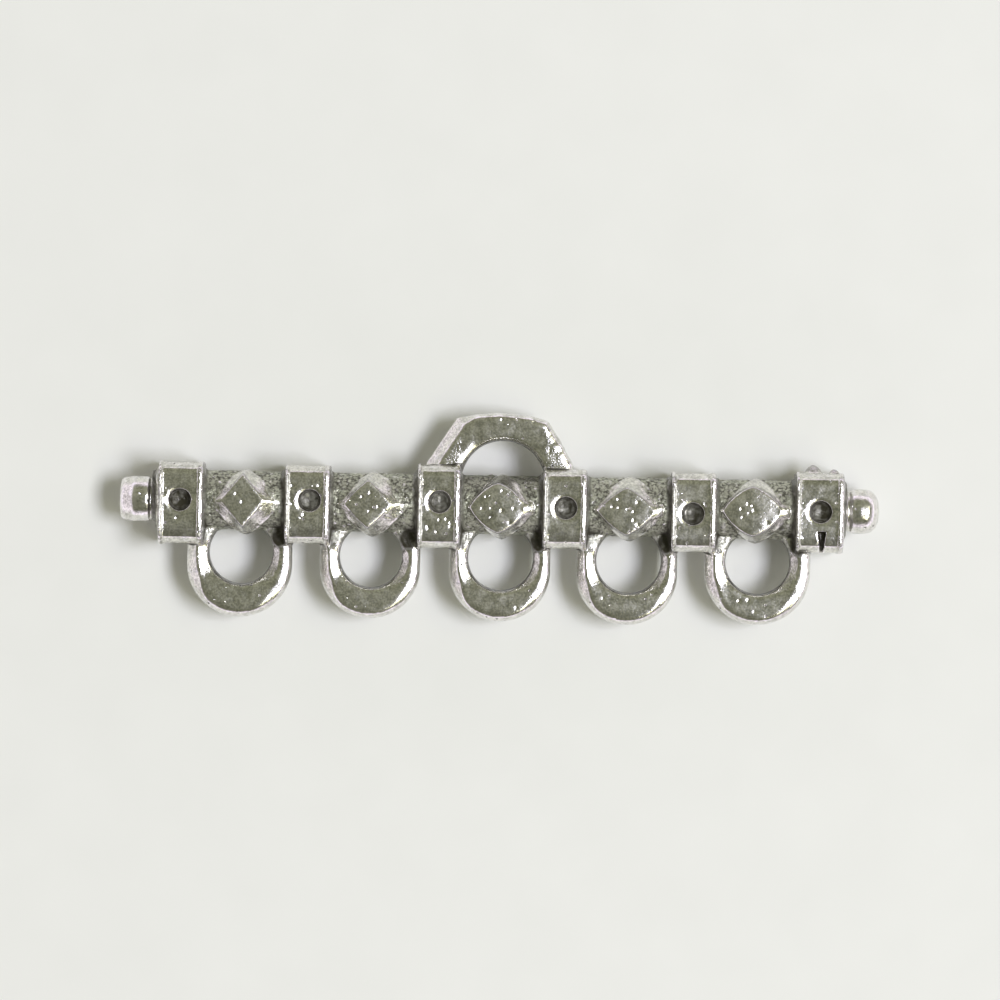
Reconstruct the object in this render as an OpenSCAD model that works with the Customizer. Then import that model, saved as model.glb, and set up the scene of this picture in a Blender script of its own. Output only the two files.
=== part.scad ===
// Multi-strand connector: one cast jewellery finding with five strand loops on a round bar,
// a hanging loop above, six cuffs, five studs between them and a knob at each end.
// X runs along the bar, the strand loops point to -Y and the hanging loop to +Y.
// The back of every feature mirrors the front, and the part rests on the backs of its cuffs.

/* [Bar] */
// Distance from one strand loop to the next
strand_pitch = 6.4; // [6.2:0.1:8]
// Radius of the round bar
bar_r = 1.47; // [1.3:0.01:1.5]

/* [Cuffs] */
// Height of a cuff's front face above the bar's axis
cuff_face_z = 1.70; // [1.6:0.05:2]
// How far a cuff's raised edge rims stand proud of its face
rim_proud = 0.08; // [0.05:0.01:0.15]
// Width of one raised edge rim
rim_w = 0.17; // [0.1:0.01:0.3]
// Height in Y of the bevel at a cuff's top and bottom
cuff_bevel_y = 0.42; // [0.2:0.02:0.6]
// Depth in Z of that bevel
cuff_bevel_z = 0.55; // [0.3:0.05:0.8]
// Length in Y of the gently sloped shoulder beside the flat middle of a cuff
shoulder_y = 0.5; // [0.2:0.05:0.8]
// Drop in Z of that shoulder
shoulder_z = 0.10; // [0.05:0.01:0.3]
// Width of the cast flank that runs from a cuff's side down to the bar
flank_w = 0.30; // [0.1:0.05:0.5]
// Radius at which that flank starts, inside the cuff's rim
flank_r = 1.66; // [1.55:0.01:1.69]

/* [Dimples] */
// Radius of the round dimple in the middle of a cuff
dimple_r = 0.56; // [0.4:0.02:0.65]
// Radius of the dimple's chamfered mouth
dimple_mouth_r = 0.76; // [0.66:0.02:0.85]
// Depth of the dimple
dimple_depth = 0.50; // [0.3:0.05:0.7]

/* [Studs] */
// Height of a stud's crown above the bar's axis
stud_crown_z = 1.74; // [1.6:0.02:1.8]
// How far round the bar a stud's base is wrapped, in degrees from the front
stud_wrap = 78; // [60:2:80]
// Half the height of that base, whose upper and lower corners stand out past the bar
stud_base_y = 1.66; // [1.6:0.01:1.8]
// Height of the step from the bar up to the base's edge
stud_step = 0.05; // [0.03:0.01:0.1]

/* [Strand loops] */
// Thickness of a strand loop, front to back
loop_t = 1.35; // [1:0.05:1.6]
// Rounding of a strand loop's outer edge, inward from its outline
loop_round = 0.52; // [0.3:0.02:0.6]
// Rounding of the mouth of its eye
eye_round = 0.24; // [0.1:0.02:0.3]

/* [Hanging loop] */
// Thickness of the hanging loop, front to back
hanger_t = 1.45; // [1:0.05:1.6]
// Width of its outer bevel
hanger_bevel = 0.34; // [0.2:0.02:0.5]
// Radius of its arched eye
arch_r = 2.10; // [1.9:0.02:2.2]
// Height of the arch's centre above the bar's axis
arch_y = 1.10; // [0.9:0.05:1.3]
// Rounding of the mouth of the arch
arch_round = 0.26; // [0.1:0.02:0.3]

/* [End knobs] */
// Length of a knob from the neck to its tip
knob_len = 1.55; // [1.2:0.05:2]
// Radius of a knob
knob_r = 1.14; // [1:0.02:1.3]
// Radius of the rounding at a knob's tip
knob_dome = 0.55; // [0.3:0.05:0.8]
// Radius of the neck where it leaves an end cuff
neck_root_r = 1.65; // [1.4:0.05:1.65]
// Depth of the shallow groove between neck and knob
groove_depth = 0.10; // [0.05:0.01:0.2]

/* [Casting marks] */
// Width of the sprue nub left on the last cuff's top edge
nub_w = 1.0; // [0.6:0.1:1.4]
// Height of that nub
nub_h = 0.40; // [0.2:0.05:0.6]
// Depth of the tapered gouge below the last cuff's dimple
gouge_depth = 0.40; // [0.2:0.05:0.5]
// Width of the gouge at its upper end
gouge_w = 0.44; // [0.3:0.02:0.6]

/* [Hidden] */
$fn = 96;

// Every table row below starts with its place along the bar in whole pitches, and its own
// small shift from there.
STEP = 0;
SHIFT = 1;

// A cuff sits halfway between two strands. Each row then has its width, its top and bottom,
// and its dimple's place from the cuff's own middle and the bar's axis.
CUFF_W = 2;
CUFF_TOP = 3;
CUFF_LOW = 4;
DIMPLE_X = 5;
DIMPLE_Y = 6;
CUFFS = [
    [-2.5,  0.13, 2.20, 1.88, -2.27, -0.03, -0.02],
    [-1.5,  0.03, 2.20, 1.82, -2.18,  0.12,  0.05],
    [-0.5,  0.18, 2.10, 1.96, -2.28,  0.04,  0.10],
    [ 0.5,  0.05, 2.15, 1.84, -2.19,  0.05, -0.09],
    [ 1.5,  0.07, 2.20, 1.78, -2.25, -0.04, -0.27],
    [ 2.5, -0.05, 2.35, 1.88, -2.16,  0.03, -0.06]
];

// A stud sits above each strand. Each row then has the height of its crown's middle from the
// axis, half the crown's length and height, and half the base's length.
CROWN_MIDDLE = 2;
CROWN_X = 3;
CROWN_Y = 4;
BASE_X = 5;
STUDS = [
    [-2,  0.15, -0.15, 0.86, 1.17, 1.80],
    [-1,  0.10,  0.08, 0.94, 1.00, 1.80],
    [ 0,  0.13, -0.05, 1.05, 1.02, 1.78],
    [ 1,  0.10, -0.03, 0.90, 0.95, 1.82],
    [ 2, -0.02, -0.06, 1.10, 1.02, 1.84]
];

base_middle = -0.08;
stud_sides = 4;
crown_bow = 0.06;

// A strand loop's eye is a circle and its outline another, lower one, so that the loop is
// thickest at its foot. Each row then has the eye's height and radius, and the outline's
// shift, height and radius.
EYE_Y = 2;
EYE_R = 3;
OUT_SHIFT = 4;
OUT_Y = 5;
OUT_R = 6;
LOOPS = [
    [-2, -0.06, -2.56, 1.58, -0.14, -3.19, 2.62],
    [-1,  0.02, -2.67, 1.55, -0.02, -3.27, 2.50],
    [ 0,  0.10, -2.62, 1.63,  0.06, -3.30, 2.52],
    [ 1,  0.10, -2.66, 1.62,  0.01, -3.36, 2.52],
    [ 2,  0.13, -2.61, 1.60,  0.13, -3.11, 2.65]
];

// An end knob stands on the side of an end cuff. Each row has the direction that it points in,
// the cuff's row, and the length of the concave neck between them.
KNOB_SIDE = 0;
KNOB_CUFF = 1;
NECK_LEN = 2;
KNOBS = [
    [-1, 0, 0.45],
    [ 1, 5, 0.30]
];

// Outline of the hanging loop, anticlockwise from its foot in the right cuff. The feet are
// measured from the middles of the two cuffs that carry them.
hanger_foot_y = 0.6;
hanger_left_in = 0.66;
hanger_right_in = 0.42;
hanger_side_y = 2.05;
HANGER_CROWN = [[2.35, 4.24], [1.44, 4.48], [-0.06, 4.60], [-1.16, 4.53], [-2.20, 4.31]];
arch_x = 0.15;

// Places of the two sprue nubs from the last cuff's middle, and how far the first one's root
// stands out past its foot
nub_x = -0.31;
small_nub_x = 0.74;
nub_root = 0.15;

// Place of the gouge from the last cuff's middle, its upper and lower end, and its lower width
gouge_x = 0.1;
gouge_top = -1.02;
gouge_low = -2.02;
gouge_tip_w = 0.16;

// How far a cuff's cast flank sinks below the bar's surface at its end
flank_sunk = 0.075;

// Steps used to round an edge, and how far a cutter runs past the face it cuts
round_steps = 4;
past = 0.3;

hanger_left = middle(CUFFS[2]) - hanger_left_in;
hanger_right = middle(CUFFS[3]) + hanger_right_in;
hanger_outline = concat(
    [[hanger_right, hanger_foot_y], [hanger_right, hanger_side_y]],
    HANGER_CROWN,
    [[hanger_left, hanger_side_y], [hanger_left, hanger_foot_y]]
);

bar_from = middle(CUFFS[0]);
bar_to = middle(CUFFS[5]);
function knob_root(row) =
    middle(CUFFS[row[KNOB_CUFF]]) + row[KNOB_SIDE] * CUFFS[row[KNOB_CUFF]][CUFF_W] / 2;
function knob_tip(row) = knob_root(row) + row[KNOB_SIDE] * (row[NECK_LEN] + knob_len);

high_y = max([for (p = hanger_outline) p.y]);
low_y = min([for (row = LOOPS) row[OUT_Y] - row[OUT_R]]);
middle_x = (knob_tip(KNOBS[0]) + knob_tip(KNOBS[1])) / 2;
middle_y = (high_y + low_y) / 2;
rest_z = cuff_face_z + rim_proud;

// Place along the bar of a table row: whole pitches plus its own shift
function middle(row, shift = SHIFT) = strand_pitch * row[STEP] + row[shift];

// Quarter round from (r, z - drop) up to (r - inset, z), as points of a section
function quarter(r, z, inset, drop) = [
    for (i = [0:round_steps])
        [r - inset * (1 - cos(90 * i / round_steps)), z - drop * (1 - sin(90 * i / round_steps))]
];

// The same points for the section's lower side, in the order that closes the section
function quarter_below(r, z, inset, drop) = [
    for (i = [round_steps:-1:0])
        [r - inset * (1 - cos(90 * i / round_steps)), -z + drop * (1 - sin(90 * i / round_steps))]
];

// Section of a disc with a rounded rim, from its axis outward
function disc_section(r, t, inset, drop) = concat(
    [[0, -t / 2]],
    quarter_below(r, t / 2, inset, drop),
    quarter(r, t / 2, inset, drop),
    [[0, t / 2]]
);

// Section of a round cutter that flares to both faces, from its axis outward
function eye_section(r, t, flare) = concat(
    [[0, -t / 2 - past], [r + flare, -t / 2 - past]],
    [for (i = [0:round_steps])
        [r + flare * (1 - sin(90 * i / round_steps)), -t / 2 + flare * (1 - cos(90 * i / round_steps))]],
    [for (i = [round_steps:-1:0])
        [r + flare * (1 - sin(90 * i / round_steps)), t / 2 - flare * (1 - cos(90 * i / round_steps))]],
    [[r + flare, t / 2 + past], [0, t / 2 + past]]
);

// Section of a cuff in Y and Z: flat middle, sloped shoulders and bevelled ends
function cuff_half(top, low, z) = [
    [top, z - shoulder_z - cuff_bevel_z],
    [top - cuff_bevel_y, z - shoulder_z],
    [top - cuff_bevel_y - shoulder_y, z],
    [low + cuff_bevel_y + shoulder_y, z],
    [low + cuff_bevel_y, z - shoulder_z],
    [low, z - shoulder_z - cuff_bevel_z]
];
function cuff_section(top, low, z) = concat(
    cuff_half(top, low, z),
    [for (i = [5:-1:0]) [cuff_half(top, low, z)[i].x, -cuff_half(top, low, z)[i].y]]
);

// Moves an outline's points towards a centre by one distance
function drawn_in(points, centre, by) = [
    for (p = points) p - (p - centre) * by / norm(p - centre)
];

// Extrudes a section drawn in Y and Z along X
module along_x(x, length) {
    translate([x, 0, 0])
        rotate([90, 0, 90])
            linear_extrude(length)
                children();
}

// Solid through level rings of equally many points, given from the lowest to the highest
module loft(rings) {
    n = len(rings[0]);
    last = len(rings) - 1;
    points = [for (ring = rings) for (p = ring) p];
    sides = [
        for (k = [0:last - 1]) for (i = [0:n - 1]) for (half = [0, 1])
            half == 0
                ? [k * n + i, (k + 1) * n + i, (k + 1) * n + (i + 1) % n]
                : [k * n + i, (k + 1) * n + (i + 1) % n, k * n + (i + 1) % n]
    ];
    floor_face = [for (i = [0:n - 1]) i];
    roof_face = [for (i = [n - 1:-1:0]) last * n + i];
    polyhedron(points, concat([floor_face, roof_face], sides));
}

// Round bar from the first cuff to the last
module bar() {
    color("#6f6c5f")
        translate([bar_from, 0, 0])
            rotate([0, 90, 0])
                cylinder(r = bar_r, h = bar_to - bar_from);
}

// Cuff round the bar, with a raised rim along each side and a fillet down to the bar
module cuff(row) {
    x = middle(row) - row[CUFF_W] / 2;
    color("#8c8a7c") {
        along_x(x + rim_w / 2, row[CUFF_W] - rim_w)
            polygon(cuff_section(row[CUFF_TOP], row[CUFF_LOW], cuff_face_z));
        for (edge = [x, x + row[CUFF_W] - rim_w])
            along_x(edge, rim_w)
                polygon(cuff_section(row[CUFF_TOP] + rim_proud, row[CUFF_LOW], cuff_face_z + rim_proud));
        for (side = [-1, 1])
            translate([middle(row) + side * (row[CUFF_W] / 2 - rim_w), 0, 0])
                rotate([0, 90 * side, 0])
                    cylinder(r1 = flank_r, r2 = bar_r - flank_sunk, h = rim_w + flank_w);
    }
}

// Cutter for the blind dimple in the front and the back of a cuff
module dimple(row) {
    chamfer = dimple_mouth_r - dimple_r;
    floor_z = cuff_face_z - dimple_depth;
    for (side = [0, 1])
        translate([middle(row) + row[DIMPLE_X], row[DIMPLE_Y], 0])
            mirror([0, 0, side])
                rotate_extrude()
                    polygon([
                        [0, floor_z],
                        [dimple_r - chamfer, floor_z],
                        [dimple_r, floor_z + chamfer / 2],
                        [dimple_r, cuff_face_z - chamfer],
                        [dimple_mouth_r, cuff_face_z],
                        [dimple_mouth_r, cuff_face_z + past],
                        [0, cuff_face_z + past]
                    ]);
}

// Way round a lozenge's four corners, in quarter turns, with a few points on each side
turns = [for (k = [0:3]) for (i = [0:stud_sides - 1]) k + i / stud_sides];
function across(t) = t < 2 ? 1 - t : t - 3;
function along(t) = t < 1 ? t : t < 3 ? 2 - t : t - 4;

// Ring of a stud's flat crown, a lozenge whose sides bow out a little
function stud_crown(row) = [
    for (t = turns)
        let (bow = 1 + 4 * crown_bow * abs(across(t) * along(t)))
            [middle(row) + row[CROWN_X] * across(t) * bow,
             row[CROWN_MIDDLE] + row[CROWN_Y] * along(t) * bow,
             stud_crown_z]
];

// Ring of a stud's base, a lozenge wrapped round the bar
function stud_base(row) = [
    for (t = turns)
        [middle(row) + row[BASE_X] * across(t),
         base_middle + stud_base_y * sin(stud_wrap * along(t)) / sin(stud_wrap),
         (bar_r + stud_step) * cos(stud_wrap * along(t))]
];

// The same ring on the back of the bar
function behind(ring) = [for (p = ring) [p.x, p.y, -p.z]];

// Stud with a flat lozenge crown, on the front and the back of the bar
module stud(row) {
    crown = stud_crown(row);
    base = stud_base(row);
    color("#8c8a7c")
        loft([behind(crown), behind(base), base, crown]);
}

// Strand loop: a rounded horseshoe whose legs run straight up into the bar
module strand_loop(row) {
    out_x = middle(row, OUT_SHIFT);
    section = disc_section(row[OUT_R], loop_t, loop_round, loop_round);
    color("#a09d8e")
        difference() {
            translate([out_x, row[OUT_Y], 0]) {
                rotate([0, 0, 180])
                    rotate_extrude(angle = 180)
                        polygon(section);
                for (side = [0, 1])
                    mirror([side, 0, 0])
                        rotate([90, 0, 0])
                            translate([0, 0, row[OUT_Y] + bar_r / 2])
                                linear_extrude(-row[OUT_Y] - bar_r / 2)
                                    polygon(section);
            }
            translate([middle(row), row[EYE_Y], 0])
                rotate_extrude()
                    polygon(eye_section(row[EYE_R], loop_t, eye_round));
        }
}

// Hanging loop: a bevelled arch between the two middle cuffs
module hanging_loop() {
    inner = drawn_in(hanger_outline, [arch_x, arch_y], hanger_bevel);
    half = hanger_t / 2;
    color("#a09d8e")
        difference() {
            loft([
                [for (p = inner) [p.x, p.y, -half]],
                [for (p = hanger_outline) [p.x, p.y, hanger_bevel - half]],
                [for (p = hanger_outline) [p.x, p.y, half - hanger_bevel]],
                [for (p = inner) [p.x, p.y, half]]
            ]);
            translate([arch_x, arch_y, 0])
                rotate_extrude()
                    polygon(eye_section(arch_r, hanger_t, arch_round));
        }
}

// Knob with a domed tip on a concave neck that ends in a shallow groove
module end_knob(row) {
    neck = row[NECK_LEN];
    groove_r = knob_r - groove_depth;
    neck_mid_r = (neck_root_r + 2 * groove_r) / 3;
    color("#a09d8e")
        translate([knob_root(row), 0, 0])
            rotate([0, 90 * row[KNOB_SIDE], 0])
                rotate_extrude()
                    polygon(concat(
                        [[0, -past], [neck_root_r, -past], [neck_root_r, 0]],
                        [[neck_mid_r, neck / 2], [groove_r, neck]],
                        [[knob_r, neck + groove_depth]],
                        quarter(knob_r, neck + knob_len, knob_dome, knob_dome),
                        [[0, neck + knob_len]]
                    ));
}

// Nubs where the metal was poured into the mould, on the last cuff's top edge
module sprue_nubs() {
    top = CUFFS[5][CUFF_TOP];
    color("#8c8a7c") {
        translate([middle(CUFFS[5]) + nub_x, top - past, 0])
            rotate([-90, 0, 0])
                cylinder(r1 = nub_w / 2 + nub_root, r2 = nub_w / 6, h = past + nub_h);
        translate([middle(CUFFS[5]) + small_nub_x, top - past, 0])
            rotate([-90, 0, 0])
                cylinder(r1 = nub_w / 3, r2 = nub_w / 6, h = past + nub_h / 2);
    }
}

// Cutter for the tapered gouge in the last cuff's front
module gouge() {
    translate([middle(CUFFS[5]) + gouge_x, 0, cuff_face_z - gouge_depth])
        linear_extrude(gouge_depth + past)
            polygon([
                [-gouge_w / 2, gouge_top],
                [gouge_w / 2, gouge_top],
                [gouge_tip_w / 2, gouge_low],
                [-gouge_tip_w / 2, gouge_low]
            ]);
}

// The whole casting is one solid
module connector() {
    translate([-middle_x, -middle_y, rest_z])
        difference() {
            union() {
                bar();
                for (row = CUFFS) cuff(row);
                for (row = STUDS) stud(row);
                for (row = LOOPS) strand_loop(row);
                hanging_loop();
                for (row = KNOBS) end_knob(row);
                sprue_nubs();
            }
            for (row = CUFFS) dimple(row);
            gouge();
        }
}

connector();
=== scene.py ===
# %% [markdown]
# # A cast five-strand connector
# The object is one antique-silver casting, 38 mm long: a round bar with five strand loops below
# it and a hanging loop above, six cuffs, five lozenge studs and a knob at each end. First the
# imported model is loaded. It is the frame that every shape below has to fit.

# %% Load the frame
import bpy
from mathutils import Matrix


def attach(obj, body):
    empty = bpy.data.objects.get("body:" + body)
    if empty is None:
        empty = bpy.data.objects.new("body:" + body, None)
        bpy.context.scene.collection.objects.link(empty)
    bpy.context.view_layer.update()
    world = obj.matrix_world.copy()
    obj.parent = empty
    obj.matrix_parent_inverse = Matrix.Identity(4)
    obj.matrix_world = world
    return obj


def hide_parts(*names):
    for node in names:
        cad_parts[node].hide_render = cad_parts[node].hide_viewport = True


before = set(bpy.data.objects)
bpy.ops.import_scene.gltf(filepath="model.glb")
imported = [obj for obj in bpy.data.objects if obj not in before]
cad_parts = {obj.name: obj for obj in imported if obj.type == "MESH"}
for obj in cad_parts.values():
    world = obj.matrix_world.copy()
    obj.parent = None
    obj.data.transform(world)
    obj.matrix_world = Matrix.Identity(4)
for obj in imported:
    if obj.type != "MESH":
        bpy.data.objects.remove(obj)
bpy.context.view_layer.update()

from collections import namedtuple
import bpy
import numpy as np
from mathutils import Vector

# %% [markdown]
# ## How the casting is made
# A casting has no seams: its forms are separate shapes that run into one another with small
# fillets. So each form is worked out here as its own closed surface, a stack of rings computed
# with numpy. All of them are then fused by a voxel remesh, and a light smoothing gives the
# fillets. Joining them with booleans would leave knife-sharp corners, and sculpting by hand
# couldn't be measured. Work is in millimetres, from the middle of the bar's axis, and moves to
# the frame at the end.

# %% Tables shared by all forms
# distance from one strand loop to the next, and the bar's radius
PITCH = 6.4
BAR_R = 1.47
# height of a cuff's face over the bar's axis, and how far its rims stand over the face
CUFF_Z = 1.70
RIM = 0.08
# height of the studs' crowns, and the base that they stand on: how far it wraps round the bar,
# half its height and its middle in Y
CROWN_Z = 1.76
STUD_WRAP = np.radians(78)
STUD_BASE_Y = 1.66
STUD_MIDDLE = -0.08
# the frame's origin, from the middle of the bar's axis
ORIGIN = np.array([0.0025, -0.64, -1.78])

# A cuff stands pitches * PITCH + shift along the bar and reaches from low to top. Its dimple
# is off the cuff's own middle and off the axis. bowl is the share of noise on the dimple's
# floor, and dark that of the painted shade on the floor's right part, away from the lamp.
Cuff = namedtuple("Cuff", "pitches shift width top low dimple_x dimple_y bowl dark")
CUFFS = [
    Cuff(-2.5, 0.13, 2.20, 1.88, -2.27, -0.03, -0.02, 0.65, 0.90),
    Cuff(-1.5, 0.03, 2.20, 1.82, -2.18, 0.12, 0.05, 1.00, 0.75),
    Cuff(-0.5, 0.18, 2.10, 1.96, -2.28, 0.04, 0.10, 1.00, 0.40),
    Cuff(0.5, 0.05, 2.15, 1.84, -2.19, 0.05, -0.09, 1.00, 0.40),
    Cuff(1.5, 0.07, 2.20, 1.78, -2.25, -0.04, -0.27, 1.00, 0.90),
    Cuff(2.5, -0.05, 2.35, 1.88, -2.16, 0.03, -0.06, 1.00, 1.10),
]
# half_x and half_y are the crown's, base_x is half the base's length, crown_x is the crown's
# middle from the base's. bow bends the crown's sides out and dome lifts its middle.
Stud = namedtuple("Stud", "pitches shift crown_y half_x half_y base_x crown_x bow dome")
STUDS = [
    Stud(-2, 0.15, -0.01, 1.01, 1.31, 1.80, -0.13, 0.03, 0.00),
    Stud(-1, 0.10, -0.08, 1.12, 1.18, 1.80, -0.26, 0.06, 0.01),
    Stud(0, 0.13, -0.16, 1.36, 1.22, 1.78, -0.22, 0.20, 0.05),
    Stud(1, 0.10, -0.22, 1.40, 1.17, 1.82, -0.18, 0.12, 0.03),
    Stud(2, -0.02, -0.10, 1.42, 1.20, 1.84, -0.20, 0.21, 0.05),
]
# the eye's circle and the lower outline's circle: shift along X, middle in Y, radius
Loop = namedtuple("Loop", "pitches eye_shift eye_y eye_r out_shift out_y out_r")
LOOPS = [
    Loop(-2, -0.06, -2.56, 1.58, -0.14, -3.19, 2.62),
    Loop(-1, 0.02, -2.67, 1.55, -0.02, -3.27, 2.50),
    Loop(0, 0.10, -2.62, 1.63, 0.06, -3.30, 2.52),
    Loop(1, 0.10, -2.66, 1.62, 0.01, -3.36, 2.52),
    Loop(2, 0.13, -2.61, 1.60, 0.13, -3.11, 2.65),
]
cuff_x = np.array([PITCH * cuff.pitches + cuff.shift for cuff in CUFFS])
cuff_half = np.array([cuff.width / 2 for cuff in CUFFS])
stud_x = np.array([PITCH * stud.pitches + stud.shift for stud in STUDS])
print("Cuffs at", cuff_x.round(2), "studs at", stud_x.round(2))

# %% [markdown]
# ## Rings and noise
# Any form of the casting could be modelled by pushing vertices about. A stack of rings says the
# same shape in a few numbers: neighbours are joined by quads and each end is closed by a fan,
# and the signed volume tells if a form is inside out. The noise for the cast skin is worked out
# from the place alone, so that each run gives the same casting.

# %% Helpers for rings and meshes
forms = []


def ease(t):
    """Smooth step from 0 to 1: 3t^2 - 2t^3, held at both ends."""
    t = np.clip(t, 0, 1)
    return t * t * (3 - 2 * t)


def resample(outline, count):
    """count points spread evenly along a closed outline, by its running length."""
    closed = np.vstack([outline, outline[:1]])
    length = np.concatenate([[0], np.cumsum(np.linalg.norm(np.diff(closed, axis=0), axis=1))])
    s = np.linspace(0, length[-1], count, endpoint=False)
    return np.stack([np.interp(s, length, closed[:, k]) for k in range(outline.shape[1])], -1)


def closed_rings(rings):
    """Vertices and faces of a stack of rings: quads between neighbours, and a fan over each end
    from the mean of its ring."""
    count, n = rings.shape[:2]
    ends = rings[[0, -1]].mean(axis=1)
    vertices = np.concatenate([rings.reshape(-1, 3), ends])
    i = np.arange(n)
    j = (i + 1) % n
    row = np.arange(count - 1)[:, None] * n
    quads = np.stack([row + i, row + j, row + n + j, row + n + i], -1).reshape(-1, 4)
    last = (count - 1) * n
    tris = np.concatenate([
        np.stack([np.full(n, count * n), j, i], -1),
        np.stack([np.full(n, count * n + 1), last + i, last + j], -1),
    ])
    return vertices, quads, tris


def add_form(name, rings):
    """Keeps one closed form for the fusing, turned outwards, and prints its size. Its volume is
    the sum of a x b . c / 6 over its triangles, which is negative if they point inwards."""
    vertices, quads, tris = closed_rings(rings)
    halves = np.concatenate([tris, quads[:, [0, 1, 2]], quads[:, [0, 2, 3]]])
    a, b, c = (vertices[halves[:, k]] for k in range(3))
    volume = (np.cross(a, b) * c).sum() / 6
    if volume < 0:
        quads, tris = quads[:, ::-1], tris[:, ::-1]
    forms.append((name, vertices, quads, tris))
    size = np.ptp(rings.reshape(-1, 3), axis=0)
    count, n = rings.shape[:2]
    print(f"{name}: {count} rings of {n}, {size.round(2)} mm, {volume:.2f} mm3")


def build_mesh(name, vertices, quads, tris):
    """Mesh from whole arrays of corners: its faces are the quads first and then the triangles."""
    mesh = bpy.data.meshes.new(name)
    mesh.vertices.add(len(vertices))
    mesh.vertices.foreach_set("co", np.asarray(vertices, np.float32).ravel())
    corners = np.concatenate([quads.ravel(), tris.ravel()]).astype(np.int32)
    mesh.loops.add(len(corners))
    mesh.loops.foreach_set("vertex_index", corners)
    starts = np.concatenate([
        np.arange(len(quads)) * 4, 4 * len(quads) + np.arange(len(tris)) * 3
    ]).astype(np.int32)
    mesh.polygons.add(len(starts))
    mesh.polygons.foreach_set("loop_start", starts)
    mesh.update(calc_edges=True)
    mesh.validate()
    return mesh


def lattice_noise(points, size, seed):
    """Smooth noise from -1 to 1: hashed values on a cubic lattice, blended by 3t^2 - 2t^3. The
    hash multiplies the cell's three whole numbers and the seed by primes and mixes their bits."""
    q = points / size
    cell = np.floor(q).astype(np.int64)
    w = ease(q - cell)
    total = np.zeros(len(points))
    for corner in range(8):
        d = np.array([corner & 1, corner >> 1 & 1, corner >> 2 & 1])
        c = cell + d
        h = (c[:, 0] * 73856093) ^ (c[:, 1] * 19349663) ^ (c[:, 2] * 83492791) ^ (seed * 7919)
        h = ((h ^ (h >> 13)) * 1274126177) & 0xFFFFFFFF
        value = ((h ^ (h >> 16)) & 0xFFFF) / 32767.5 - 1
        total += value * np.prod(np.where(d, w, 1 - w), axis=1)
    return total


# %% [markdown]
# ## The bar
# A plain round rod as cast, seen only between the cuffs. It is a circle carried along X. Its
# stippled skin comes later, on the fused metal, so that it fades out where other forms begin.

# %% Bar
round_angles = np.linspace(0, 2 * np.pi, 96, endpoint=False)
along_bar = np.linspace(cuff_x[0], cuff_x[5], 60)
bar = np.empty((len(along_bar), len(round_angles), 3))
bar[..., 0] = along_bar[:, None]
bar[..., 1] = BAR_R * np.cos(round_angles)
bar[..., 2] = BAR_R * np.sin(round_angles)
add_form("bar", bar)

# %% [markdown]
# ## The cuffs
# Each cuff is a band round the bar: flat in front, bevelled above and below, with a thin raised
# rim along each side and a hollow flank down to the bar. It could be a box with bevels, but the
# rims and flanks follow the same outline, so the outline is carried along X and drawn in by the
# depth that a short profile gives. Towards the bar it turns into the bar's circle.

# %% Cuffs
# place from the side of the cuff inwards (outside it, as a share of the flank's width), depth
# under the rim's top, share of the bar's circle
LEFT_SIDE = np.array([
    [-1.00, 0.10, 1.00], [-0.70, 0.10, 0.90], [-0.36, 0.11, 0.62], [-0.10, 0.12, 0.25],
    [0.00, 0.07, 0.00], [0.03, 0.02, 0.00], [0.06, 0.00, 0.00], [0.11, 0.00, 0.00],
    [0.14, 0.05, 0.00], [0.17, 0.08, 0.00],
])
RIGHT_SIDE = np.array([
    [-1.00, 0.12, 1.00], [-0.70, 0.12, 0.90], [-0.36, 0.13, 0.62], [-0.10, 0.14, 0.25],
    [0.00, 0.09, 0.00], [0.03, 0.05, 0.00], [0.17, 0.008, 0.00], [0.21, 0.00, 0.00],
    [0.25, 0.05, 0.00], [0.29, 0.08, 0.00],
])
# width of the hollow flank on each side, low down and what it gains towards the top
LEFT_FLANK = (0.16, 0.20)
RIGHT_FLANK = (0.13, 0.06)
# how far inside the bar's skin a flank ends
FLANK_SUNK = 0.04


def cuff_outline(top, low, z):
    """Outline in Y and Z: a flat middle, gently sloped shoulders and bevelled ends."""
    front = np.array([
        [top, z - 0.72], [top - 0.10, z - 0.42], [top - 0.34, z - 0.10], [top - 0.60, z - 0.02],
        [(top + low) / 2, z], [low + 0.75, z - 0.02], [low + 0.36, z - 0.11],
        [low + 0.12, z - 0.42], [low, z - 0.72],
    ])
    return np.vstack([front, front[::-1] * [1, -1]])


def cuff_rings(cuff, middle):
    """Rings along X: outline minus depth times its outward normal, then blended to a circle."""
    outline = resample(cuff_outline(cuff.top + RIM * 0.5, cuff.low, CUFF_Z + RIM), 160)
    along = np.roll(outline, -2, axis=0) - np.roll(outline, 2, axis=0)
    normal = np.stack([along[:, 1], -along[:, 0]], -1)
    normal /= np.linalg.norm(normal, axis=1)[:, None]
    angle = np.arctan2(outline[:, 1], outline[:, 0])
    circle = (BAR_R - FLANK_SUNK) * np.stack([np.cos(angle), np.sin(angle)], -1)
    high = ease((outline[:, 0] - 0.8) / 0.8)
    sides = []
    for profile, (wide, gain) in ((LEFT_SIDE, LEFT_FLANK), (RIGHT_SIDE, RIGHT_FLANK)):
        place = profile[:, :1]
        sides.append(np.where(place < 0, place * (wide + gain * high), place))
    half = cuff.width / 2
    xs = np.concatenate([middle - half + sides[0], (middle + half - sides[1])[::-1]])
    depth = np.concatenate([LEFT_SIDE[:, 1], RIGHT_SIDE[::-1, 1]])
    blend = np.concatenate([LEFT_SIDE[:, 2], RIGHT_SIDE[::-1, 2]])
    flat = outline[None] - depth[:, None, None] * normal[None]
    section = flat * (1 - blend[:, None, None]) + circle[None] * blend[:, None, None]
    rings = np.empty((len(xs), len(outline), 3))
    rings[..., 0] = xs
    rings[..., 1:] = section
    return rings


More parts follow.
